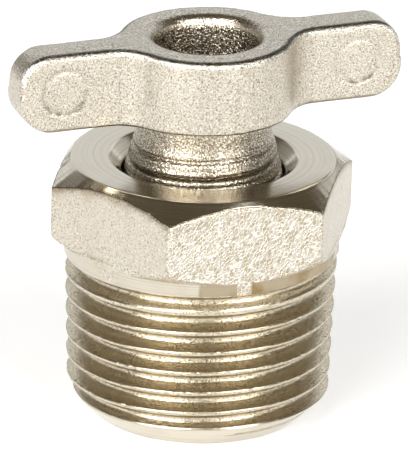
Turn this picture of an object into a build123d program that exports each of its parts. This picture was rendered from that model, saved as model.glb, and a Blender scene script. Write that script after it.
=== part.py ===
from build123d import *
import os
from math import cos, floor, isclose, radians, tan

os.makedirs("parts", exist_ok=True)

# Drain cock with a T handle, standing on its thread end, millimetres, +Z up its axis.
# The origin is the centre of the thread's end face. The handle lies along X at rest.

# Male taper pipe thread, R 3/8 (19 turns to the inch, taper 1 in 16 on the diameter)
thread_pitch = 25.4 / 19
thread_gauge_diameter = 16.662
thread_gauge_length = 6.35
thread_taper = 1 / 16
thread_form_angle = 55.0
thread_depth_share = 0.640327
thread_length = 10.35
thread_top_crest = 9.31
end_face_diameter = 13.1
end_chamfer_angle = 45.0

# Turned land between the thread and the hexagon
land_diameter = 17.1
land_length = 0.95
underside_angle = 45.0

# Hexagon
hex_across_flats = 17.0
hex_height = 5.2
hex_corner_radius = 0.3
chamfer_face_diameter = 16.8
chamfer_angle = 38.0

# Way through the body, from the inlet at the thread end up to the countersink
inlet_diameter = 6.2
chamber_floor_height = 4.0
seat_lip_height = 0.4
seat_lip_width = 0.5
countersink_diameter = 11.8
countersink_angle = 45.0

# Threaded stem, M10 x 1, its crests worn by blasting
stem_thread_diameter = 9.8
stem_thread_pitch = 1.0
stem_thread_depth = 0.45
stem_thread_clearance = 0.06
stem_thread_top = 17.9
stem_thread_bottom = 9.4
shank_diameter = 8.8
neck_diameter = 8.3
neck_flare_height = 0.5
tip_edge_chamfer = 0.3

# Seat washer in the pocket of the stem's tip
pocket_wall = 0.35
washer_thickness = 1.6
washer_proud = 0.5
washer_clearance = 0.05
washer_edge_radius = 0.2

# Way through the stem
passage_diameter = 3.2
passage_floor_web = 0.9
cross_hole_diameter = 2.2
cross_hole_rise = 0.1
funnel_diameter = 6.5
funnel_floor_height = 18.8
funnel_lip_radius = 0.7
funnel_floor_angle = 31.0

# T handle, forged in one with the stem
handle_length = 24.8
handle_height = 4.95
handle_underside_height = 19.6
wing_thickness = 2.7
wing_corner_radius = 2.1
hub_diameter = 10.8
hub_wing_fillet = 1.4
handle_edge_radius = 0.35

# Heights and radii that follow from the sizes above
land_top = thread_length + land_length
body_height = land_top + hex_height
land_radius = land_diameter / 2
end_face_radius = end_face_diameter / 2
inlet_radius = inlet_diameter / 2
seat_height = chamber_floor_height + seat_lip_height
hex_corner_reach = hex_across_flats / 2 / cos(radians(30))
stem_crest_radius = stem_thread_diameter / 2
bore_radius = stem_crest_radius + stem_thread_clearance
pocket_radius = shank_diameter / 2 - pocket_wall
washer_radius = pocket_radius - washer_clearance
tip_height = seat_height + washer_proud
pocket_roof = seat_height + washer_thickness
handle_top = handle_underside_height + handle_height


def crest_radius(height):
    """Radius of the taper thread's crests at a height above the end face."""
    return thread_gauge_diameter / 2 + (height - thread_gauge_length) * thread_taper / 2


def turned(section):
    """Solid of revolution about the Z axis of a section drawn in the XZ plane."""
    return revolve(section, axis=Axis.Z)


def section_of(points):
    """Closed outline in the XZ plane through (radius, height) points."""
    return make_face(Plane.XZ * Polyline(*points, close=True))


def thread_groove(centre_height, root_radius, half_angle):
    """V groove between two crests, as a section that opens outwards past the crests."""
    depth = thread_depth_share * thread_pitch
    root_half_width = (thread_pitch - 2 * depth * tan(half_angle)) / 4
    reach = 2 * depth
    mouth_half_width = root_half_width + reach * tan(half_angle)
    return section_of([
        (root_radius, centre_height - root_half_width),
        (root_radius + reach, centre_height - mouth_half_width),
        (root_radius + reach, centre_height + mouth_half_width),
        (root_radius, centre_height + root_half_width),
    ])


def body_blank():
    """Turned outside of the body, with the hexagon still round."""
    chamfer_slope = tan(radians(end_chamfer_angle))
    chamfer_top = (crest_radius(0) - end_face_radius) / (1 / chamfer_slope - thread_taper / 2)
    underside_rise = (hex_corner_reach - land_radius) * tan(radians(underside_angle))
    face_radius = chamfer_face_diameter / 2
    corner_drop = (hex_corner_reach - face_radius) * tan(radians(chamfer_angle))
    return turned(section_of([
        (0, 0),
        (end_face_radius, 0),
        (crest_radius(chamfer_top), chamfer_top),
        (crest_radius(thread_length), thread_length),
        (land_radius, thread_length),
        (land_radius, land_top),
        (hex_corner_reach, land_top + underside_rise),
        (hex_corner_reach, body_height - corner_drop),
        (face_radius, body_height),
        (0, body_height),
    ]))


def body_way():
    """Inlet, valve chamber, threaded bore and countersink, as one turned tool."""
    countersink_radius = countersink_diameter / 2
    countersink_depth = (countersink_radius - bore_radius) / tan(radians(countersink_angle))
    lip_radius = inlet_radius + seat_lip_width
    return turned(section_of([
        (0, 0),
        (inlet_radius, 0),
        (inlet_radius, seat_height),
        (lip_radius, seat_height),
        (lip_radius, chamber_floor_height),
        (bore_radius, chamber_floor_height),
        (bore_radius, body_height - countersink_depth),
        (countersink_radius, body_height),
        (0, body_height),
    ]))


def hexagon_waste():
    """Metal outside the six flats, from the thread's upper end to the top face."""
    flats = RegularPolygon(hex_across_flats / 2, 6, major_radius=False)
    rounded = fillet(flats.vertices(), hex_corner_radius)
    height = body_height - thread_length
    ring = Circle(hex_across_flats) - rounded
    return Pos(0, 0, thread_length) * extrude(ring, height)


def cock_body():
    """Body with its taper thread as rings of the true pitch and form, and its hexagon."""
    body = body_blank() - hexagon_waste()
    half_angle = radians(thread_form_angle / 2)
    turns = floor(thread_top_crest / thread_pitch)
    for turn in range(turns):
        centre = thread_top_crest - (turn + 0.5) * thread_pitch
        root = crest_radius(centre) - thread_depth_share * thread_pitch
        body -= turned(thread_groove(centre, root, half_angle))
    runout_height = thread_top_crest + thread_pitch / 2
    runout_root = crest_radius(runout_height) - thread_depth_share * thread_pitch / 2
    body -= turned(thread_groove(runout_height, runout_root, half_angle))
    return body - body_way()


def handle_blank():
    """Hub and two wings, from the plan outline cut to the rounded front outline."""
    plan = Circle(hub_diameter / 2) + Rectangle(handle_length, wing_thickness)
    inner_corners = [v for v in plan.vertices() if abs(v.X) < hub_diameter / 2]
    plan = fillet(inner_corners, hub_wing_fillet)
    front = fillet(Rectangle(handle_length, handle_height).vertices(), wing_corner_radius)
    middle = handle_underside_height + handle_height / 2
    slab = extrude(Plane.XZ * Pos(0, middle) * front, hub_diameter, both=True)
    blank = Pos(0, 0, handle_underside_height) * extrude(plan, handle_height) & slab
    rims = blank.edges() - blank.edges().filter_by(Axis.Z) - blank.edges().filter_by(Axis.Y)
    return fillet(rims, handle_edge_radius)


def stem_blank():
    """Neck, ridges of the stem thread as rings, and the plain shank above the tip."""
    root_radius = stem_crest_radius - stem_thread_depth
    points = [(0, tip_height), (shank_diameter / 2 - tip_edge_chamfer, tip_height)]
    points.append((shank_diameter / 2, tip_height + tip_edge_chamfer))
    points.append((shank_diameter / 2, stem_thread_bottom))
    turns = floor((stem_thread_top - stem_thread_bottom) / stem_thread_pitch)
    for turn in range(turns):
        foot = stem_thread_top - (turns - turn) * stem_thread_pitch
        points.append((root_radius, foot))
        points.append((stem_crest_radius, foot + stem_thread_pitch * 0.4))
        points.append((stem_crest_radius, foot + stem_thread_pitch * 0.6))
    points.append((neck_diameter / 2, stem_thread_top + neck_flare_height))
    points.append((neck_diameter / 2, handle_underside_height))
    points.append((0, handle_underside_height))
    return turned(section_of(points))


def stem_way():
    """Funnel, passage and washer pocket, as one turned tool."""
    passage_radius = passage_diameter / 2
    funnel_radius = funnel_diameter / 2
    cone_drop = (funnel_radius - passage_radius) * tan(radians(funnel_floor_angle))
    passage_floor = pocket_roof + washer_clearance + passage_floor_web
    passage = turned(section_of([
        (0, passage_floor),
        (passage_radius, passage_floor),
        (passage_radius, funnel_floor_height - cone_drop),
        (funnel_radius, funnel_floor_height),
        (funnel_radius, handle_top),
        (0, handle_top),
    ]))
    pocket_depth = pocket_roof + washer_clearance - tip_height
    pocket = Pos(0, 0, tip_height) * extrude(Circle(pocket_radius), pocket_depth)
    cross_height = passage_floor + cross_hole_rise + cross_hole_diameter / 2
    drill = Cylinder(cross_hole_diameter / 2, stem_thread_diameter)
    along_x = Pos(0, 0, cross_height) * Rot(0, 90, 0) * drill
    along_y = Pos(0, 0, cross_height) * Rot(90, 0, 0) * drill
    return passage + pocket + along_x + along_y


def t_handle_stem():
    """Handle and hollow stem, one forging."""
    piece = handle_blank() + stem_blank() - stem_way()
    circles = piece.edges().filter_by(GeomType.CIRCLE)
    mouth = [c for c in circles if isclose(c.radius, funnel_diameter / 2, rel_tol=1e-6)]
    lip = max(mouth, key=lambda circle: circle.center().Z)
    return fillet(lip, funnel_lip_radius)


def seat_washer():
    """Rubber disc that closes on the seat lip."""
    disc = Pos(0, 0, seat_height) * extrude(Circle(washer_radius), washer_thickness)
    return fillet(disc.edges().filter_by(GeomType.CIRCLE), washer_edge_radius)


export_step(cock_body(), "parts/cock_body.step")
export_step(t_handle_stem(), "parts/t_handle_stem.step")
export_step(seat_washer(), "parts/seat_washer.step")
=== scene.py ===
from math import atan2, cos, degrees, pi, radians, sin, tan

import bpy
import numpy as np
from mathutils import Matrix, Vector, noise


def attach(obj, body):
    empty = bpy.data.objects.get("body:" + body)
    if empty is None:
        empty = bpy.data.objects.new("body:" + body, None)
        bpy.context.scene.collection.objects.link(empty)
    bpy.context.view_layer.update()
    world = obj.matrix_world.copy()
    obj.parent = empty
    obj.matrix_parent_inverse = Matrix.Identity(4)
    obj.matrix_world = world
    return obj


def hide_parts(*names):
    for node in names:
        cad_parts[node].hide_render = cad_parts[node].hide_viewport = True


# Drain cock with a T handle, dressed around its CAD frame.
# Lengths below are millimetres in the frame of the part, and become metres in new_piece.
# Azimuths are degrees about the upright axis, from -Y towards +X.

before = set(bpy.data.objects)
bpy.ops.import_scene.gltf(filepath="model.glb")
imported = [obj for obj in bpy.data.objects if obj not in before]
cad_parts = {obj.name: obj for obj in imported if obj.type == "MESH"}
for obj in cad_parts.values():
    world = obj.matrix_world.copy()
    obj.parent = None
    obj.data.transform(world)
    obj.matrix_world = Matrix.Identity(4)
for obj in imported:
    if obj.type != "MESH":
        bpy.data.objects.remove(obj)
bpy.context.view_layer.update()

MM = 0.001

# Camera fitted to the photograph, in a frame where it looks along +Y
VIEW_TURN = 20.2
VIEW_ELEVATION = 21.139
VIEW_ROLL = 1.584
VIEW_DISTANCE = 400.0
VIEW_TARGET = (0.1429, 0.0, 11.908)
FOCAL_PIXELS = 6457.0
PHOTO_WIDTH = 408

# Taper pipe thread
PITCH = 25.4 / 19
GAUGE_RADIUS, GAUGE_HEIGHT = 16.662 / 2, 6.35
TAPER = 1 / 32
LOWER_FLANK, UPPER_FLANK = radians(27.5), radians(22.5)
THREAD_DEPTH = 0.640327 * PITCH
CREST_HALF_FLAT = 0.1
TOP_GROOVE = 9.978
RUNOUT_START, RUNOUT_END = -90.0, 300.0
RUNOUT_LIFT = 0.98
THREAD_TOP = 10.35
END_RADIUS = 6.55

# Nicks and unevenness of the thread's crests: depth, size
NICK_DEPTH, NICK_SIZE = 0.05, 0.45
CREST_WAVE, CREST_WAVE_SIZE = 0.01, 0.2

# Rows of the thread's grid: where a groove's fine rows start above its middle, width of a crest's edge
GROOVE_REACH, CREST_EDGE = 0.19, 0.035

# Land and hexagon
LAND_RADIUS, LAND_TOP = 8.55, 11.3
HELIX_CEILING = 11.55
HEX_APOTHEM, HEX_CORNER_RADIUS = 8.5, 0.3
HEX_ROUND_START = degrees(atan2((HEX_APOTHEM - HEX_CORNER_RADIUS) * tan(radians(30)), HEX_APOTHEM))
HEX_TURN = -1.33
TOP = 16.5
FACE_RADIUS = 8.15
CHAMFER = radians(33)
CREASE_WAVE, CREASE_WAVE_SIZE, CREASE_DROP = 0.05, 0.55, 0.13
CREASE_ROUND, BURR, BURR_SIZE = 0.14, 0.02, 0.16
UNDERSIDE = radians(33)
COUNTERSINK_RADIUS, MOUTH_RADIUS, MOUTH_FLOOR, BORE_RADIUS = 5.9, 5.06, 15.0, 4.96
MOUTH_STEP = 0.1
INLET_RADIUS, CHAMBER_FLOOR, SEAT_LIP = 3.1, 4.0, (3.6, 4.4)
INLET_BREAK, LIP_BREAK = 0.15, 0.06

# Handle and stem
HANDLE_BOTTOM, HANDLE_TOP = 19.6, 24.55
HANDLE_REACH, WING_HALF = 12.4, 1.35
WING_CORNER, LOW_LEFT_CORNER = 1.97, 2.15
WING_TILT = tan(radians(0.85))
HUB_RADIUS, HUB_FILLET, UPPER_EDGE, LOWER_EDGE = 5.4, 1.4, 0.44, 0.16
DRAFT = tan(radians(1.45))
FUNNEL_RADIUS, FUNNEL_FLOOR, FUNNEL_LIP = 3.25, 18.8, 0.72
FUNNEL_ANGLE = radians(31)
PASSAGE_RADIUS, PASSAGE_FLOOR = 1.6, 6.95
POCKET_RADIUS, POCKET_ROOF, TIP = 4.05, 6.05, 4.9
CROSS_RADIUS, CROSS_HEIGHT = 1.1, 8.15
SHANK_RADIUS = 4.4
STEM_PITCH, STEM_GROOVE, STEM_LOW = 1.0, 16.6, 9.4
STEM_GROOVE_DEPTHS = (15.3, 16.3, 17.1, 17.45, 17.7, 18.1), (0.45, 0.40, 0.33, 0.25, 0.12, 0.0)
STEM_CRESTS = (15.4, 15.9, 16.5, 17.3, 18.2, 18.5), (4.9, 4.86, 4.7, 4.5, 4.18, 4.15)
STEM_GROOVE_EDGE, STEM_DIP, STEM_DIP_EDGE = (0.02, 0.38), 0.18, (0.7, 1.0)
RING_PLACE, RING_HEIGHT, RING_RADIUS = 9.5, 22.1, 1.4
RING_DEPTH, RING_WIDTH, RING_DARK_WIDTH = 0.05, 0.13, 0.16
STEM_JOIN, WAY_EDGE = 0.1, 0.08
FORGED_WAVES = (0.016, 1.7, 0), (0.006, 0.5, 9)
EDGE_WAVE, EDGE_WAVE_SIZE = 0.014, 0.3
HANDLE_BOX, HANDLE_STEP = ((-12.8, -5.85, 4.6), (12.8, 5.85, 25.0)), 0.137


def rotate_about_z(vector, angle):
    """Turns a vector about the upright axis by an angle in degrees."""
    turn = radians(angle)
    x, y, z = vector
    return np.array([x * cos(turn) - y * sin(turn), x * sin(turn) + y * cos(turn), z])


def place_camera():
    """Camera at the photograph's angle, from the fitted values."""
    rise = radians(VIEW_ELEVATION)
    ahead = rotate_about_z((0, cos(rise), -sin(rise)), -VIEW_TURN)
    right = rotate_about_z((1, 0, 0), -VIEW_TURN)
    up = np.cross(right, ahead)
    roll = radians(VIEW_ROLL)
    camera_x = cos(roll) * right + sin(roll) * up
    camera_y = cos(roll) * up - sin(roll) * right
    place = (rotate_about_z(VIEW_TARGET, -VIEW_TURN) - VIEW_DISTANCE * ahead) * MM
    data = bpy.data.cameras.new("photo_camera")
    data.sensor_fit = "HORIZONTAL"
    data.sensor_width = 36
    data.lens = FOCAL_PIXELS / PHOTO_WIDTH * data.sensor_width
    camera = bpy.data.objects.new("photo_camera", data)
    columns = [*zip(camera_x, camera_y, -ahead, place), (0, 0, 0, 1)]
    camera.matrix_world = Matrix(columns)
    bpy.context.scene.collection.objects.link(camera)
    bpy.context.scene.camera = camera


def new_piece(name, points, faces, body, node, materials):
    """Mesh object from points in millimetres, riding on a body and standing for a node."""
    mesh = bpy.data.meshes.new(name)
    mesh.from_pydata((points * MM).tolist(), [], faces)
    mesh.polygons.foreach_set("use_smooth", [True] * len(mesh.polygons))
    for material in materials:
        mesh.materials.append(material)
    piece = bpy.data.objects.new(name, mesh)
    bpy.context.scene.collection.objects.link(piece)
    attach(piece, body)
    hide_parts(node)
    return piece


def store_mask(piece, name, values):
    """Vertex mask from 0 to 1 that the piece's material reads by name."""
    attribute = piece.data.attributes.new(name, "FLOAT", "POINT")
    attribute.data.foreach_set("value", np.asarray(values, np.float32))


def perlin(points, size, offset=0.0):
    """Noise from about -1 to 1 at each point, with features of the given size."""
    shift = Vector((offset, offset * 1.7, -offset))
    return np.array([noise.noise(Vector(p) / size + shift) for p in points])


def smooth_step(value, low, high):
    """Rises smoothly from 0 at low to 1 at high."""
    share = np.clip((value - low) / (high - low), 0, 1)
    return share * share * (3 - 2 * share)


def crest_radius(height):
    """Radius of the taper thread's crests at a height above the end face."""
    return GAUGE_RADIUS + (height - GAUGE_HEIGHT) * TAPER


def hexagon_radius(azimuth):
    """Radius of the rounded hexagon, with a flat across -Y before its small turn."""
    local = (azimuth - HEX_TURN + 30) % 60 - 30
    flat = HEX_APOTHEM / np.cos(np.radians(local))
    centre = (HEX_APOTHEM - HEX_CORNER_RADIUS) / cos(radians(30))
    off = np.radians(30 - np.abs(local))
    inside = HEX_CORNER_RADIUS ** 2 - (centre * np.sin(off)) ** 2
    corner = centre * np.cos(off) + np.sqrt(np.maximum(inside, 0))
    tangent = np.abs(local) > HEX_ROUND_START
    return np.where(tangent, np.minimum(flat, corner), flat)


def groove_radius(from_middle, floor_radius, half_form):
    """Radius of one side of a V groove with a round floor, at an axial distance from its middle."""
    floor_round = (PITCH / 2 - CREST_HALF_FLAT) / tan(half_form) - THREAD_DEPTH
    floor_round /= 1 / sin(half_form) - 1
    arc_reach = floor_round * cos(half_form)
    arc = floor_round - np.sqrt(np.maximum(floor_round ** 2 - from_middle ** 2, 0))
    flank = floor_round * (1 - sin(half_form)) + (from_middle - arc_reach) / tan(half_form)
    return floor_radius + np.where(from_middle < arc_reach, arc, flank)


def outside_radius(azimuth, height):
    """Outside of the body below the hexagon: blank, end chamfer and helical thread."""
    blank = np.where(height < THREAD_TOP, crest_radius(height), LAND_RADIUS)
    step = THREAD_TOP + (LAND_RADIUS - crest_radius(THREAD_TOP))
    on_step = (height >= THREAD_TOP) & (height < step)
    blank = np.where(on_step, crest_radius(THREAD_TOP) + height - THREAD_TOP, blank)
    blank = np.where(height > LAND_TOP, LAND_RADIUS + (height - LAND_TOP) / tan(UNDERSIDE), blank)
    blank = np.where(height > THREAD_TOP - 0.3, np.minimum(blank, hexagon_radius(azimuth)), blank)
    radius = np.minimum(blank, END_RADIUS + height)
    view_azimuth = (azimuth + VIEW_TURN) % 360
    for turn in range(10):
        middle = TOP_GROOVE - turn * PITCH + PITCH * view_azimuth / 360
        along = view_azimuth - 360 * turn
        lift = RUNOUT_LIFT * np.clip((along - RUNOUT_START) / (RUNOUT_END - RUNOUT_START), 0, 3)
        floor_radius = crest_radius(middle) - THREAD_DEPTH + lift
        above = groove_radius(np.maximum(height - middle, 0), floor_radius, LOWER_FLANK)
        below = groove_radius(np.maximum(middle - height, 0), floor_radius, UPPER_FLANK)
        radius = np.minimum(radius, np.where(height > middle, above, below))
    return radius


def column_azimuths():
    """Azimuths of the grid's columns, closer together at the hexagon's corners."""
    even = np.arange(0, 360, 1.0)
    steps = (-0.9, -0.6, -0.3, 0, 0.3, 0.6, 0.9)
    corners = [30 + 60 * k + HEX_TURN + step for k in range(6) for step in steps]
    corners = np.array(corners) % 360
    near = np.min(np.abs((even[:, None] - corners[None, :] + 180) % 360 - 180), axis=1)
    shifted = np.concatenate([even[near > 0.25], corners])
    return np.sort((shifted + VIEW_TURN) % 360) - VIEW_TURN


def weld(points, faces, masks):
    """Merges points that coincide and drops the faces that vanish."""
    keys = np.round(points * 2e4).astype(np.int64)
    _, first, index = np.unique(keys, axis=0, return_index=True, return_inverse=True)
    index = index.reshape(-1)
    kept = []
    for face in faces:
        corners = []
        for corner in index[face]:
            if corner not in corners:
                corners.append(int(corner))
        if len(corners) > 2:
            kept.append(corners)
    return points[first], kept, {name: values[first] for name, values in masks.items()}


BODY_MASKS = ("turned", "worn", "stain", "under", "thread", "peel")

# How far the plating has peeled on each flat, by the flat's azimuth
FLAT_PEEL = {0: 1.0, 60: 0.15, 120: 0.5, 180: 0.2, 240: 0.8, 300: 0.1}


class BodyRows:
    """Rows of the body's closed grid, each with a radius, a height and the value of each mask."""

    def __init__(self, azimuth):
        self.azimuth = azimuth
        self.view_azimuth = azimuth + VIEW_TURN
        self.hexagon = hexagon_radius(azimuth)
        turn = np.radians(azimuth)
        self.spots = np.stack([np.sin(turn), np.cos(turn), 0 * azimuth], axis=1)
        flat = np.round((azimuth - HEX_TURN) / 60) * 60 % 360
        self.peel = np.array([FLAT_PEEL[int(value)] for value in flat])
        self.rows = []

    def add(self, radius, height, turned, **masks):
        values = [radius, height, turned] + [masks.get(name, 0) for name in BODY_MASKS[1:]]
        count = len(self.azimuth)
        self.rows.append([np.broadcast_to(np.asarray(v, float), count).copy() for v in values])


def add_way(rows):
    """Inlet, seat lip, chamber, bore, countersink and flat top face, from the inside out."""
    lip_radius, lip_height = SEAT_LIP
    rows.add(INLET_RADIUS + INLET_BREAK, 0, 1)
    rows.add(INLET_RADIUS, INLET_BREAK, 1)
    rows.add(INLET_RADIUS, lip_height / 2, 1)
    rows.add(INLET_RADIUS, lip_height - LIP_BREAK, 1)
    rows.add(INLET_RADIUS + LIP_BREAK, lip_height, 1)
    rows.add(lip_radius - LIP_BREAK, lip_height, 1)
    rows.add(lip_radius, lip_height - LIP_BREAK, 1)
    rows.add(lip_radius, CHAMBER_FLOOR, 1)
    rows.add(BORE_RADIUS, CHAMBER_FLOOR, 1)
    sink_depth = COUNTERSINK_RADIUS - MOUTH_RADIUS
    for share in (0.3, 0.6, 0.8, 0.97, 1):
        rows.add(BORE_RADIUS, CHAMBER_FLOOR + (MOUTH_FLOOR - CHAMBER_FLOOR) * share, 1)
    for share in (0, 0.05, 0.3, 0.6, 0.95):
        rise = (TOP - sink_depth - MOUTH_FLOOR - MOUTH_STEP) * share
        rows.add(MOUTH_RADIUS, MOUTH_FLOOR + MOUTH_STEP + rise, 1)
    for share in (0.02, 0.1, 0.25, 0.4, 0.55, 0.7, 0.85, 0.96):
        rows.add(MOUTH_RADIUS + sink_depth * share, TOP - sink_depth * (1 - share), 1)
    rows.add(COUNTERSINK_RADIUS + 0.03, TOP - 0.01, 1)
    for radius in np.linspace(COUNTERSINK_RADIUS + 0.12, FACE_RADIUS - 0.1, 10):
        rows.add(radius, TOP, 1)
    rows.add(FACE_RADIUS - 0.02, TOP - 0.006, 1)


def add_hexagon(rows):
    """Chamfer, rounded crease, flats and the hexagon's underside, down to the land."""
    hexagon, peel = rows.hexagon, rows.peel
    around = rows.spots * HEX_APOTHEM
    crease = TOP - (hexagon - FACE_RADIUS) * tan(CHAMFER) - CREASE_DROP
    off_flat = smooth_step(hexagon, HEX_APOTHEM, HEX_APOTHEM + 0.06)
    crease = crease + CREASE_WAVE * perlin(around, CREASE_WAVE_SIZE, 3) * off_flat
    lower = LAND_TOP + np.maximum(hexagon - LAND_RADIUS, 0) * tan(UNDERSIDE)
    tangent = CREASE_ROUND * tan((pi / 2 - CHAMFER) / 2)
    arc_radius, arc_height = hexagon - tangent * cos(CHAMFER), crease + tangent * sin(CHAMFER)
    outer_share = (arc_radius - FACE_RADIUS) / np.maximum(hexagon - FACE_RADIUS, 0.05)
    outer_share = np.clip(outer_share, 0.05, 1)
    for step in np.linspace(0.06, 0.95, 10):
        share = step * outer_share
        rows.add(FACE_RADIUS + (hexagon - FACE_RADIUS) * share, TOP + (crease - TOP) * share, 1)
    bare = smooth_step(peel, 0.1, 0.6)
    # The crease's round gets painted shade past the chamfer, where the plating holds
    for slope in np.linspace(CHAMFER, pi / 2, 6):
        out = CREASE_ROUND * (sin(slope) - sin(CHAMFER))
        down = CREASE_ROUND * (cos(slope) - cos(CHAMFER))
        burr = BURR * perlin(around, BURR_SIZE, 4) * sin(2 * slope)
        rows.add(arc_radius + out + burr, arc_height + down + burr, slope < 0.8,
                 worn=0.2 + 0.8 * bare, stain=0.5, under=(1 - bare) * (slope > CHAMFER))
    at_edge = 0.7 * smooth_step(hexagon, 9.6, 9.7)
    foot = crease - tangent
    # The flats' first row, just under the crease, gets half painted shade where the plating holds
    for share in (0.03, 0.1, 0.2, 0.32, 0.44, 0.56, 0.68, 0.8, 0.9):
        first = share < 0.05
        rows.add(hexagon, foot + (lower + 0.15 - foot) * share, 0, worn=np.maximum(0.5 * first, at_edge),
                 stain=1 - smooth_step(share, 0, 0.2), under=0.5 * (1 - bare) * first, peel=peel)
    floor = np.maximum(lower, HELIX_CEILING + 0.05)
    at_foot = hexagon - 0.05 * smooth_step(hexagon, 8.6, 9.0)
    rows.add(hexagon - 0.01, floor + 0.16, 0, worn=0.3, stain=0.5, peel=peel)
    rows.add(at_foot, floor + 0.04, 0, worn=0.5, stain=0.8, peel=peel)
    for share in (0.12, 0.35, 0.6, 0.85):
        height = floor + (HELIX_CEILING - floor) * share
        radius = np.minimum(hexagon, LAND_RADIUS + (height - LAND_TOP) / tan(UNDERSIDE))
        rows.add(radius, height, 0, worn=0.3, stain=0.8 * (1 - share), peel=peel)


def add_helix_row(rows, part, height):
    """One row of the thread, at an axial distance below the crest that it follows."""
    half = PITCH / 2
    edge = CREST_HALF_FLAT + CREST_EDGE
    view_azimuth = rows.view_azimuth
    radius = outside_radius(rows.azimuth, height)
    groove = (crest_radius(height) - radius) / THREAD_DEPTH
    threaded = 1 - smooth_step(height, THREAD_TOP - 0.25, THREAD_TOP)
    on_land = (height > THREAD_TOP) & (radius > HEX_APOTHEM + 0.012) & (height < LAND_TOP)
    turned = np.where(height > THREAD_TOP, np.where(on_land, 1.0, 0.0), 1.0)
    turned = np.where(groove > 0.15, 1.0, turned)
    # Painted shade on the lower flank, from the crest's edge down to near the groove's floor
    under = smooth_step(part, CREST_HALF_FLAT, edge)
    under = under * (1 - smooth_step(part, half - 0.22, half - 0.08)) * threaded
    threaded = threaded * (radius < END_RADIUS + height - 0.004)
    if part <= edge or part >= PITCH - edge:
        crest_spots = np.stack([rows.spots[:, 0] * radius, rows.spots[:, 1] * radius, height], axis=1)
        nick = smooth_step(perlin(crest_spots, NICK_SIZE, 7), 0.15, 0.6)
        uneven = CREST_WAVE * perlin(crest_spots, CREST_WAVE_SIZE, 2)
        radius = radius - threaded * (NICK_DEPTH * nick + uneven)
    # Painted dark reflection on the land, on its front and right as the camera sees it, carried in the
    # stain mask
    land_dark_reflection = 2.0 * smooth_step(view_azimuth, -25, 5) * (1 - smooth_step(view_azimuth, 90, 180))
    rows.add(radius, height, turned, stain=land_dark_reflection * on_land, under=under * threaded, peel=rows.peel,
             thread=threaded * (0.8 + 0.2 * smooth_step(groove, 0.03, 0.12)))


def add_helix(rows):
    """Rows that follow the thread's helix, so a crest stays a crest. Gives the rows in one turn."""
    half = PITCH / 2
    crest, edge = CREST_HALF_FLAT, CREST_HALF_FLAT + CREST_EDGE
    parts = [0, crest, edge, 0.2, 0.28, 0.36]
    parts += [half - GROOVE_REACH, half - 0.125, half - 0.06, half]
    parts += [half + v for v in (0.05, 0.1, 0.15, 0.2, 0.25, 0.3, 0.4)]
    parts += [PITCH - edge, PITCH - crest]
    helix_top = TOP_GROOVE + PITCH / 2 + PITCH
    turns = int(np.ceil((helix_top + PITCH) / PITCH)) + 1
    for turn in range(turns):
        for part in parts:
            height = helix_top - turn * PITCH - part + PITCH * rows.view_azimuth / 360
            add_helix_row(rows, part, np.clip(height, 0, HELIX_CEILING))
    return len(parts)


def build_body(materials):
    """Body with hexagon, helical taper thread and bore, as one closed grid."""
    azimuth = column_azimuths()
    rows = BodyRows(azimuth)
    add_way(rows)
    add_hexagon(rows)
    helix_start = len(rows.rows)
    turn_rows = add_helix(rows)
    helix_end = len(rows.rows)
    rows.add(END_RADIUS, 0, 1)
    rows.add(END_RADIUS - 0.08, 0, 1)
    rows.add((END_RADIUS + INLET_RADIUS) / 2, 0, 1)

    table = np.array(rows.rows)
    radius, height = table[:, 0], table[:, 1]
    turn_angle = np.radians(azimuth)[None, :]
    points = np.stack([radius * np.sin(turn_angle), -radius * np.cos(turn_angle), height], axis=-1)
    grid = np.arange(radius.size).reshape(radius.shape)
    after = np.roll(grid, -1, axis=1)
    for k in range(helix_start, helix_end):
        after[k, -1] = grid[max(k - turn_rows, helix_start), 0]
    below, below_after = np.roll(grid, -1, axis=0), np.roll(after, -1, axis=0)
    faces = np.stack([grid, below, below_after, after], axis=-1).reshape(-1, 4)
    masks = {name: table[:, 2 + k].ravel() for k, name in enumerate(BODY_MASKS)}
    points, faces, masks = weld(points.reshape(-1, 3), faces, masks)
    body = new_piece("body_forging", points, faces, "body", "cock_body", materials)
    for name, values in masks.items():
        store_mask(body, name, values)
    return body


def round_union(a, b, radius):
    """Distance to both shapes together, with a fillet of the given radius where they meet."""
    u, v = np.maximum(radius - a, 0), np.maximum(radius - b, 0)
    return np.maximum(radius, np.minimum(a, b)) - np.hypot(u, v)


def round_common(a, b, radius):
    """Distance to what two shapes share, with its edge rounded to the given radius."""
    u, v = np.maximum(radius + a, 0), np.maximum(radius + b, 0)
    return np.minimum(-radius, np.maximum(a, b)) + np.hypot(u, v)


def stem_radius(x, y, z):
    """Outside radius of the stem: shank, worn helical thread that runs out in the flared neck."""
    azimuth = (np.degrees(np.arctan2(x, -y)) + VIEW_TURN) / 360
    turns = (z - STEM_GROOVE) / STEM_PITCH - azimuth
    from_groove = np.abs(turns - np.round(turns)) * 2
    groove_height = STEM_GROOVE + (np.round(turns) + azimuth) * STEM_PITCH
    depth = np.interp(groove_height, *STEM_GROOVE_DEPTHS)
    crest = np.interp(z, *STEM_CRESTS)
    threaded = crest - depth * (1 - smooth_step(from_groove, *STEM_GROOVE_EDGE))
    threaded = threaded - STEM_DIP * depth * smooth_step(from_groove, *STEM_DIP_EDGE)
    into_shank = smooth_step(z, STEM_LOW - 0.2, STEM_LOW + 0.1)
    return SHANK_RADIUS + (threaded - SHANK_RADIUS) * into_shank


def wing_ring(x, z):
    """Distance from the middle line of the ring mark on each wing."""
    return np.hypot(np.abs(x) - RING_PLACE, z - RING_HEIGHT - x * WING_TILT) - RING_RADIUS


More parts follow.
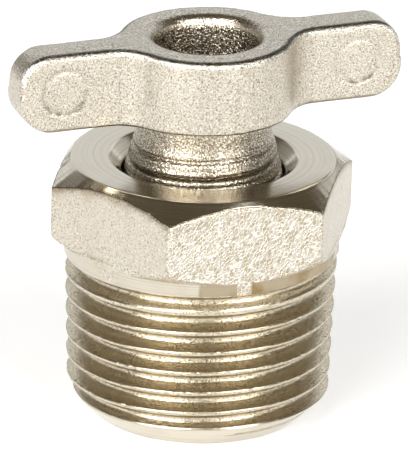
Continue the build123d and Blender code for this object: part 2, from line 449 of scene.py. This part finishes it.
def handle_sides(x, y, z):
    """Distances to the handle's upright sides and front outline, and height above its middle."""
    radial = np.hypot(x, y)
    rise = z - (HANDLE_BOTTOM + HANDLE_TOP) / 2 - x * WING_TILT
    corner = np.where((x < 0) & (rise < 0), LOW_LEFT_CORNER, WING_CORNER)
    u = np.abs(x) - HANDLE_REACH + corner
    v = np.abs(rise) - (HANDLE_TOP - HANDLE_BOTTOM) / 2 + corner
    front = np.hypot(np.maximum(u, 0), np.maximum(v, 0)) + np.minimum(np.maximum(u, v), 0) - corner
    front = front + np.abs(y) * DRAFT
    ring = RING_DEPTH * np.exp(-(wing_ring(x, z) / RING_WIDTH) ** 2)
    bar = np.abs(y) - WING_HALF + ring
    return round_union(radial - HUB_RADIUS, bar, HUB_FILLET), front, rise


def handle_field(x, y, z):
    """Signed distance, near enough, to the T handle forged in one with its stem."""
    radial = np.hypot(x, y)
    plan, front, rise = handle_sides(x, y, z)
    handle = round_common(plan, front, np.where(rise < 0, LOWER_EDGE, UPPER_EDGE))
    stem = np.maximum(radial - stem_radius(x, y, z), np.maximum(TIP - z, z - HANDLE_BOTTOM - 1))
    solid = round_union(handle, stem, STEM_JOIN)
    cross = np.minimum(np.hypot(x, z - CROSS_HEIGHT), np.hypot(y, z - CROSS_HEIGHT)) - CROSS_RADIUS
    way = np.minimum(cross, np.maximum(radial - POCKET_RADIUS, z - POCKET_ROOF))
    passage = np.maximum(radial - PASSAGE_RADIUS, np.maximum(PASSAGE_FLOOR - z, z - HANDLE_TOP))
    way = np.minimum(way, passage)
    solid = round_common(solid, -way, WAY_EDGE)
    cone = (FUNNEL_FLOOR - z - (FUNNEL_RADIUS - radial) * tan(FUNNEL_ANGLE)) * cos(FUNNEL_ANGLE)
    funnel = np.maximum(radial - FUNNEL_RADIUS, cone)
    return round_common(solid, -funnel, FUNNEL_LIP)


def surface_net(field, low, high, step):
    """Quad mesh of the zero surface of a field, by the surface nets method."""
    axes = [np.arange(a, b + step, step) for a, b in zip(low, high)]
    values = field(*np.meshgrid(*axes, indexing="ij")).astype(np.float32)
    inside = values < 0
    cells = tuple(n - 1 for n in values.shape)

    def corner(array, i, j, k):
        return array[i:i + cells[0], j:j + cells[1], k:k + cells[2]]

    offsets = [(i, j, k) for i in (0, 1) for j in (0, 1) for k in (0, 1)]
    total = sum(corner(inside, *o).astype(np.int8) for o in offsets)
    active = (total > 0) & (total < 8)
    place = np.argwhere(active)
    index = np.full(cells, -1, np.int64)
    index[active] = np.arange(len(place))
    at = {o: values[tuple((place + o).T)] for o in offsets}
    position = np.zeros((len(place), 3))
    crossings = np.zeros(len(place))
    for a in offsets:
        for axis in range(3):
            if a[axis]:
                continue
            b = tuple(v + (n == axis) for n, v in enumerate(a))
            crossed = (at[a] < 0) != (at[b] < 0)
            share = np.where(crossed, at[a] / np.where(crossed, at[a] - at[b], 1), 0)
            spot = np.broadcast_to(np.array(a, float), position.shape).copy()
            spot[:, axis] += share
            position += np.where(crossed[:, None], spot, 0)
            crossings += crossed
    points = (place + position / crossings[:, None]) * step + np.array([a[0] for a in axes])
    faces = []
    for axis in range(3):
        b, c = (axis + 1) % 3, (axis + 2) % 3
        first = [slice(None)] * 3
        second = [slice(None)] * 3
        first[axis], second[axis] = slice(0, -1), slice(1, None)
        leaving = inside[tuple(first)] & ~inside[tuple(second)]
        entering = ~inside[tuple(first)] & inside[tuple(second)]
        for mask, flip in ((leaving, False), (entering, True)):
            spots = np.argwhere(mask)
            ring = []
            for db, dc in ((1, 1), (0, 1), (0, 0), (1, 0)):
                cell = spots.copy()
                cell[:, b] -= db
                cell[:, c] -= dc
                ring.append(index[tuple(cell.T)])
            quad = np.stack(ring, axis=1)
            faces.append(quad[:, ::-1] if flip else quad)
    return points, np.concatenate(faces)


def settle(points, field, rounds=4, reach=0.004):
    """Moves points onto the zero surface, and gives its normals there."""
    for _ in range(rounds):
        value = field(*points.T)
        slope = np.empty_like(points)
        for axis in range(3):
            shift = np.zeros(3)
            shift[axis] = reach
            slope[:, axis] = (field(*(points + shift).T) - field(*(points - shift).T)) / (2 * reach)
        steep = np.maximum((slope ** 2).sum(axis=1, keepdims=True), 0.25)
        move = value[:, None] * slope / steep
        size = np.linalg.norm(move, axis=1, keepdims=True)
        points = points - move * np.minimum(1, 0.08 / np.maximum(size, 1e-9))
    return points, slope / np.linalg.norm(slope, axis=1, keepdims=True)


def build_handle(materials):
    """T handle and stem as one forging."""
    points, faces = surface_net(handle_field, *HANDLE_BOX, HANDLE_STEP)
    points, normals = settle(points, handle_field)
    height, radial = points[:, 2], np.hypot(points[:, 0], points[:, 1])
    outer = smooth_step(height, 18.0, 19.0) * (radial > FUNNEL_RADIUS)
    plan, front, rise = handle_sides(*points.T)
    edge = smooth_step(np.minimum(plan, front) + UPPER_EDGE, 0.0, 0.12) * (rise > 0)
    wave = sum(size * perlin(points, spread, offset) for size, spread, offset in FORGED_WAVES)
    wave = wave + EDGE_WAVE * edge * perlin(points, EDGE_WAVE_SIZE, 6)
    points = points + normals * (wave * outer)[:, None]
    handle = new_piece("t_handle", points, faces.tolist(), "handle", "t_handle_stem",
                       materials)
    masks = handle_masks(points, height, radial, normals[:, 2], edge, rise)
    for name in HANDLE_MASKS:
        store_mask(handle, name, masks[name])
    return handle


HANDLE_MASKS = ("inner", "shade_and_grime", "stem", "edge", "dark_reflection_rim", "top")


def handle_masks(points, height, radial, up, edge, rise):
    """Where the handle is funnel with painted shade, painted shade under the handle and in the stem's
    grooves with darker ring marks, stem, rounded edge for a painted glint, rim with a painted dark
    reflection, or top face.
    """
    # Inside of the funnel, which gets painted shade
    inside_funnel = smooth_step(HANDLE_TOP - 0.35 - height, 0, 0.5) * (radial < FUNNEL_RADIUS + 0.3)
    on_stem = (height < HANDLE_BOTTOM - 0.1) & (radial > SHANK_RADIUS - 0.4)
    # Depth into the stem's grooves, which get painted shade
    sunk = (np.interp(height, *STEM_CRESTS) - radial) / 0.3 * (height > STEM_LOW)
    level = height - points[:, 0] * WING_TILT
    # Band along the bottom edge of the whole handle, which gets painted shade
    under_hub = 1 - smooth_step(np.abs(level - HANDLE_BOTTOM), 0.12, 0.26)
    # Darker broken marks along the lower arcs of the rings
    ring = np.exp(-(wing_ring(points[:, 0], height) / RING_DARK_WIDTH) ** 2)
    ring = ring * (np.abs(points[:, 1]) > WING_HALF * 0.8)
    ring = ring * smooth_step(RING_HEIGHT - height, -0.2, 1.0)
    ring = ring * smooth_step(perlin(points, 0.35, 5), -0.3, 0.5)
    shade_and_grime = np.where(on_stem, smooth_step(sunk, 0.5, 1.1), np.maximum(under_hub, ring))
    return {
        "inner": inside_funnel * (height > FUNNEL_FLOOR - 1.5),
        "shade_and_grime": np.clip(shade_and_grime, 0, 1) * (radial > FUNNEL_RADIUS + 0.1),
        "stem": on_stem.astype(float),
        "edge": edge * (radial > FUNNEL_RADIUS + 1.2) * smooth_step(up, 0.15, 0.35),
        "dark_reflection_rim": edge * smooth_step(up, 0.6, 0.74) * (1 - smooth_step(up, 0.99, 0.999)),
        "top": smooth_step(up, 0.3, 0.6) * (rise > 0),
    }


class Shader:
    """Small helper that adds nodes to one material and joins them."""

    def __init__(self, name):
        self.material = bpy.data.materials.new(name)
        self.material.use_nodes = True
        self.tree = self.material.node_tree
        self.surface = self.tree.nodes["Principled BSDF"]
        coordinate = self.tree.nodes.new("ShaderNodeTexCoord")
        self.place = self.vector("SCALE", coordinate.outputs["Object"], 1 / MM)

    def node(self, kind, inputs, **settings):
        node = self.tree.nodes.new(kind)
        for name, value in settings.items():
            setattr(node, name, value)
        for name, value in inputs.items():
            if isinstance(value, bpy.types.NodeSocket):
                self.tree.links.new(value, node.inputs[name])
            else:
                node.inputs[name].default_value = value
        return node

    def vector(self, operation, first, second):
        inputs = {0: first, "Scale" if operation == "SCALE" else 1: second}
        return self.node("ShaderNodeVectorMath", inputs, operation=operation).outputs[0]

    def math(self, operation, *values):
        inputs = dict(enumerate(values))
        return self.node("ShaderNodeMath", inputs, operation=operation).outputs[0]

    def add(self, first, second):
        return self.math("ADD", first, second)

    def times(self, first, second):
        return self.math("MULTIPLY", first, second)

    def mask(self, name):
        return self.node("ShaderNodeAttribute", {}, attribute_name=name).outputs["Fac"]

    def noise(self, scale, detail=2.0, roughness=0.5, place=None):
        inputs = {"Vector": place or self.place, "Scale": scale, "Detail": detail,
                  "Roughness": roughness, "Distortion": 0.0}
        return self.node("ShaderNodeTexNoise", inputs).outputs["Fac"]

    def net(self, scale):
        """Distance from the walls of a net of cells."""
        inputs = {"Vector": self.place, "Scale": scale, "Randomness": 1.0}
        return self.node("ShaderNodeTexVoronoi", inputs, feature="DISTANCE_TO_EDGE").outputs["Distance"]

    def ramp(self, value, low, high, bottom=0.0, top=1.0):
        inputs = {"Value": value, "From Min": low, "From Max": high, "To Min": bottom, "To Max": top}
        return self.node("ShaderNodeMapRange", inputs, interpolation_type="SMOOTHSTEP").outputs[0]

    def mix(self, share, first, second):
        node = self.node("ShaderNodeMix", {}, data_type="RGBA")
        for socket, value in ((0, share), (6, first), (7, second)):
            if isinstance(value, bpy.types.NodeSocket):
                self.tree.links.new(value, node.inputs[socket])
            elif socket:
                node.inputs[socket].default_value = (*value, 1)
            else:
                node.inputs[socket].default_value = value
        return node.outputs[2]

    def blend(self, share, first, second):
        node = self.node("ShaderNodeMix", {0: share, 2: first, 3: second}, data_type="FLOAT")
        return node.outputs[0]

    def rings(self):
        """Place along the turned profile, so that noise read there makes turning marks."""
        part = self.node("ShaderNodeSeparateXYZ", {"Vector": self.place})
        x, y, z = part.outputs
        squares = self.add(self.times(x, x), self.times(y, y))
        radius = self.math("SQRT", squares)
        return self.node("ShaderNodeCombineXYZ", {0: radius, 1: z}).outputs[0]

    def bump(self, height):
        """Normal from a height in millimetres."""
        return self.node("ShaderNodeBump", {"Height": height, "Distance": MM, "Strength": 1.0}).outputs[0]

    def finish(self, colour, roughness, normal, metallic=1.0):
        self.surface.inputs["Metallic"].default_value = metallic
        for name, value in (("Base Color", colour), ("Roughness", roughness), ("Normal", normal)):
            self.tree.links.new(value, self.surface.inputs[name])
        return self.material


# Linear colours of the plating, its wear and its dirt, and of painted shade, painted dark reflections and
# painted glints
NICKEL = (0.655, 0.604, 0.514)
BRIGHT = (0.95, 0.92, 0.84)
SPECK = (0.27, 0.22, 0.145)
TAN = (0.44, 0.365, 0.25)
TURNED, TURNED_DARK = (0.665, 0.613, 0.518), (0.53, 0.475, 0.363)
BRASSY = (0.74, 0.65, 0.48)
GRIME_AND_SHADE = (0.16, 0.125, 0.07)
DARK_REFLECTION = (0.05, 0.04, 0.022)
TARNISH_AND_REFLECTION = (0.30, 0.215, 0.10)
FUNNEL_DARK, FUNNEL_BRIGHT = (0.15, 0.105, 0.05), (1.0, 0.95, 0.86)
RUBBER_DARK, RUBBER_PALE = (0.012, 0.012, 0.013), (0.03, 0.03, 0.031)
PAPER_DARK, PAPER_PALE, PAPER_GLOW = (0.60, 0.60, 0.60), (0.62, 0.62, 0.62), 0.50

# Heights of the relief in millimetres, full white to full black
RAW_RELIEF, NET_RELIEF, WORN_RELIEF = 0.008, 0.02, 0.05
MARK_RELIEF, TOOL_RELIEF = 0.003, 0.0012
THREAD_MARKS, THREAD_GRAIN, THREAD_TOOL = 0.012, 0.014, 0.0045
BLAST_RELIEF, GRAIN_RELIEF, FUNNEL_RELIEF, STEM_RELIEF = 0.030, 0.010, 0.07, 0.03
EDGE_RELIEF, BRUSHED_RELIEF, RUBBER_RELIEF, PAPER_RELIEF = 0.055, 0.006, 0.006, 0.001
BRUSHED_SCALE = (1.2, 9.0, 9.0)


def speckled(s, grain, dark, dark_share, bright_share):
    """Plating colour with dark pits and bright points where the grain is low and high."""
    colour = s.mix(s.ramp(grain, dark_share - 0.07, dark_share + 0.05), dark, NICKEL)
    return s.mix(s.ramp(grain, bright_share - 0.03, bright_share + 0.05), colour, BRIGHT)


def body_nickel():
    """Nickel over turned brass, with raw forged flats."""
    s = Shader("body_nickel")
    turned, worn, stain, under, thread, peel = (s.mask(name) for name in BODY_MASKS)
    grain = s.noise(9, 3, 0.65)
    coarse = s.noise(2.6, 2, 0.5)
    fine = s.noise(24, 2, 0.6)
    patches = s.noise(0.5, 3, 0.55)
    marks = s.noise(9, 3, 0.7, place=s.rings())
    broad_marks = s.noise(2.2, 2, 0.5, place=s.rings())
    tool = s.noise(36, 1, 0.5, place=s.rings())
    net = s.ramp(s.add(s.net(4.4), s.times(grain, 0.12)), 0.08, 0.19, 1.0, 0.0)

    plain_colour = speckled(s, grain, SPECK, 0.40, 0.62)
    peel_colour = s.mix(net, s.mix(s.ramp(coarse, 0.4, 0.6), TAN, NICKEL), BRIGHT)
    raw_colour = s.mix(s.times(peel, 0.8), plain_colour, peel_colour)
    turned_colour = s.mix(s.ramp(marks, 0.3, 0.55), TURNED_DARK, TURNED)
    thread_colour = s.mix(s.ramp(grain, 0.36, 0.52), GRIME_AND_SHADE, BRASSY)
    turned_colour = s.mix(s.times(thread, 0.8), turned_colour, thread_colour)
    colour = s.mix(turned, raw_colour, turned_colour)
    # Painted shade on the thread's lower flanks, the crease's round and the flats' top row
    colour = s.mix(s.times(under, 0.85), colour, GRIME_AND_SHADE)
    worn_colour = s.mix(s.ramp(grain, 0.42, 0.56), TARNISH_AND_REFLECTION, BRIGHT)
    colour = s.mix(s.times(worn, 0.6), colour, worn_colour)
    # Tarnish patches, raised on the land by its painted dark reflection; the last mix paints that
    # reflection straight onto the turned land, and a little onto the crease
    tarnish_and_reflection = s.times(s.ramp(patches, 0.42, 0.7), s.add(s.times(stain, 0.5), 0.08))
    colour = s.mix(tarnish_and_reflection, colour, TARNISH_AND_REFLECTION)
    colour = s.mix(s.times(s.times(turned, stain), 0.3), colour, TARNISH_AND_REFLECTION)

    raw_rough = s.ramp(fine, 0.3, 0.7, 0.27, 0.30)
    turned_rough = s.ramp(broad_marks, 0.3, 0.7, 0.14, 0.18)
    turned_rough = s.blend(thread, turned_rough, s.ramp(fine, 0.3, 0.7, 0.19, 0.25))
    roughness = s.blend(turned, raw_rough, turned_rough)

    raw_height = s.add(s.times(grain, RAW_RELIEF), s.times(peel, s.times(net, NET_RELIEF)))
    turned_height = s.add(s.times(marks, MARK_RELIEF), s.times(tool, TOOL_RELIEF))
    thread_height = s.add(s.times(marks, THREAD_MARKS), s.times(grain, THREAD_GRAIN))
    thread_height = s.add(thread_height, s.times(tool, THREAD_TOOL))
    turned_height = s.add(turned_height, s.times(thread, thread_height))
    height = s.blend(turned, raw_height, turned_height)
    height = s.add(height, s.times(worn, s.times(grain, WORN_RELIEF)))
    return s.finish(colour, roughness, s.bump(height))


def handle_nickel():
    """Nickel over a blasted forging."""
    s = Shader("handle_nickel")
    inner, shade_and_grime, stem, edge, dark_reflection_rim, top = (s.mask(name) for name in HANDLE_MASKS)
    brushed = s.noise(1.0, 3, 0.6, place=s.vector("MULTIPLY", s.place, BRUSHED_SCALE))
    grain = s.noise(10.5, 3, 0.7)
    blast = s.noise(6.5, 2, 0.6)
    fine = s.noise(24, 2, 0.6)
    patches = s.noise(0.6, 3, 0.55)

    colour = speckled(s, grain, SPECK, 0.445, 0.60)
    colour = s.mix(s.times(top, s.ramp(brushed, 0.5, 0.3, 0.0, 0.3)), colour, TAN)
    # More dark specks on the stem: grain, and partly painted shade where the stem sits between the handle
    # and the hexagon
    stem_colour = speckled(s, grain, GRIME_AND_SHADE, 0.525, 0.63)
    colour = s.mix(s.times(stem, 0.8), colour, stem_colour)
    colour = s.mix(s.ramp(patches, 0.5, 0.75, 0.0, 0.12), colour, TARNISH_AND_REFLECTION)
    # Painted shade inside the funnel: dark brown, with bright specks
    inner_colour = s.mix(s.ramp(grain, 0.48, 0.56), FUNNEL_DARK, FUNNEL_BRIGHT)
    colour = s.mix(inner, colour, inner_colour)
    # Painted shade along the handle's bottom edge and in the stem's grooves, and darker broken marks
    # along the rings' lower arcs
    colour = s.mix(s.times(shade_and_grime, 0.85), colour, GRIME_AND_SHADE)
    # Painted glint along the upper rounded edges, on the grain's bright points
    colour = s.mix(s.times(edge, s.ramp(grain, 0.42, 0.5)), colour, BRIGHT)
    # Painted dark reflection along the rim of the upper edges, where they face the dim ceiling
    colour = s.mix(s.times(dark_reflection_rim, s.ramp(grain, 0.66, 0.56, 0.3, 1.0)), colour, DARK_REFLECTION)

    plain_rough = s.ramp(fine, 0.3, 0.7, 0.275, 0.30)
    shiny = s.math("MAXIMUM", s.math("MAXIMUM", stem, inner), s.math("MAXIMUM", edge, top))
    roughness = s.blend(shiny, plain_rough, s.ramp(fine, 0.3, 0.7, 0.18, 0.25))

    height = s.add(s.times(blast, BLAST_RELIEF), s.times(grain, GRAIN_RELIEF))
    deeper = s.add(s.times(inner, FUNNEL_RELIEF), s.times(stem, STEM_RELIEF))
    height = s.add(height, s.times(deeper, blast))
    height = s.add(height, s.times(edge, s.times(grain, EDGE_RELIEF)))
    height = s.add(height, s.times(top, s.times(brushed, BRUSHED_RELIEF)))
    return s.finish(colour, roughness, s.bump(height))


def washer_rubber():
    """Black nitrile rubber, faintly mottled."""
    s = Shader("washer_rubber")
    mottle = s.noise(3, 3, 0.6)
    colour = s.mix(mottle, RUBBER_DARK, RUBBER_PALE)
    relief = s.times(s.noise(14, 2), RUBBER_RELIEF)
    return s.finish(colour, s.ramp(mottle, 0.3, 0.7, 0.55, 0.75), s.bump(relief), metallic=0.0)


def floor_paper():
    """White paper that glows slightly, so that it stays white in the part's shade."""
    s = Shader("floor_paper")
    tone = s.noise(0.02, 2)
    colour = s.mix(tone, PAPER_DARK, PAPER_PALE)
    s.surface.inputs["Emission Color"].default_value = (1, 1, 1, 1)
    s.surface.inputs["Emission Strength"].default_value = PAPER_GLOW
    relief = s.times(tone, PAPER_RELIEF)
    return s.finish(colour, s.ramp(tone, 0, 1, 0.8, 0.9), s.bump(relief), metallic=0.0)


# Floor: half its side in metres, and its level in millimetres, just clear of the end face
FLOOR_HALF, FLOOR_LEVEL = 1.5, -0.02


def build_floor():
    """Square of paper under the part."""
    size, level = FLOOR_HALF, FLOOR_LEVEL * MM
    mesh = bpy.data.meshes.new("floor")
    corners = [(-size, -size, level), (size, -size, level), (size, size, level), (-size, size, level)]
    mesh.from_pydata(corners, [], [(0, 1, 2, 3)])
    mesh.materials.append(floor_paper())
    floor = bpy.data.objects.new("floor", mesh)
    bpy.context.scene.collection.objects.link(floor)


# Softboxes: name, azimuth and elevation in degrees, distance, width and height in metres, radiance, tint
WHITE, COOL = (1, 1, 1), (0.93, 0.98, 1.03)
SOFTBOXES = (
    ("front_left", -34, 31, 0.9, 0.58, 0.86, 6.6, WHITE),
    ("front_middle", 2, 30, 1.0, 0.45, 0.50, 0.45, WHITE),
    ("front_right", 38, 31, 1.0, 0.42, 0.98, 6.2, WHITE),
    ("back_wall", 180, 26, 1.3, 1.6, 0.80, 0.72, COOL),
    ("back_left", -135, 21, 1.4, 0.72, 0.62, 0.15, COOL),
    ("back_right", 135, 21, 1.4, 0.72, 0.62, 0.5, COOL),
)
AIM_HEIGHT = 13.0

# The room's colour by the direction's rise, from the horizon and below to straight up
ROOM_STOPS = (
    (0.0, (0.50, 0.50, 0.49)),
    (0.2, (0.30, 0.29, 0.27)),
    (0.45, (0.16, 0.14, 0.11)),
    (0.75, (0.11, 0.09, 0.06)),
    (1.0, (0.11, 0.09, 0.06)),
)


def softbox(name, azimuth, elevation, distance, width, height, radiance, tint):
    """Area light aimed at the part. Azimuth 0 is the camera's own side."""
    rise, turn = radians(elevation), radians(azimuth - VIEW_TURN)
    direction = Vector((cos(rise) * sin(turn), -cos(rise) * cos(turn), sin(rise)))
    data = bpy.data.lights.new(name, "AREA")
    data.shape = "RECTANGLE"
    data.size, data.size_y = width, height
    data.energy = radiance * pi * width * height
    data.color = tint
    light = bpy.data.objects.new(name, data)
    light.location = direction * distance + Vector((0, 0, AIM_HEIGHT * MM))
    light.rotation_euler = direction.to_track_quat("Z", "Y").to_euler()
    bpy.context.scene.collection.objects.link(light)


def build_room():
    """Dim ceiling over pale walls, as a world that depends on direction alone."""
    world = bpy.data.worlds.new("room")
    world.use_nodes = True
    bpy.context.scene.world = world
    tree = world.node_tree
    coordinate = tree.nodes.new("ShaderNodeTexCoord")
    part = tree.nodes.new("ShaderNodeSeparateXYZ")
    ramp = tree.nodes.new("ShaderNodeValToRGB")
    tree.links.new(coordinate.outputs["Generated"], part.inputs[0])
    tree.links.new(part.outputs[2], ramp.inputs[0])
    tree.links.new(ramp.outputs[0], tree.nodes["Background"].inputs["Color"])
    tree.nodes["Background"].inputs["Strength"].default_value = 1.0
    first, *between, last = ROOM_STOPS
    for element, (position, colour) in zip(ramp.color_ramp.elements, (first, last)):
        element.position = position
        element.color = (*colour, 1)
    for position, colour in between:
        ramp.color_ramp.elements.new(position).color = (*colour, 1)


place_camera()
build_room()
build_floor()
for box in SOFTBOXES:
    softbox(*box)
build_body([body_nickel()])
build_handle([handle_nickel()])
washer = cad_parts["seat_washer"]
washer.data.materials.clear()
washer.data.materials.append(washer_rubber())

bpy.context.scene.view_settings.view_transform = "Standard"
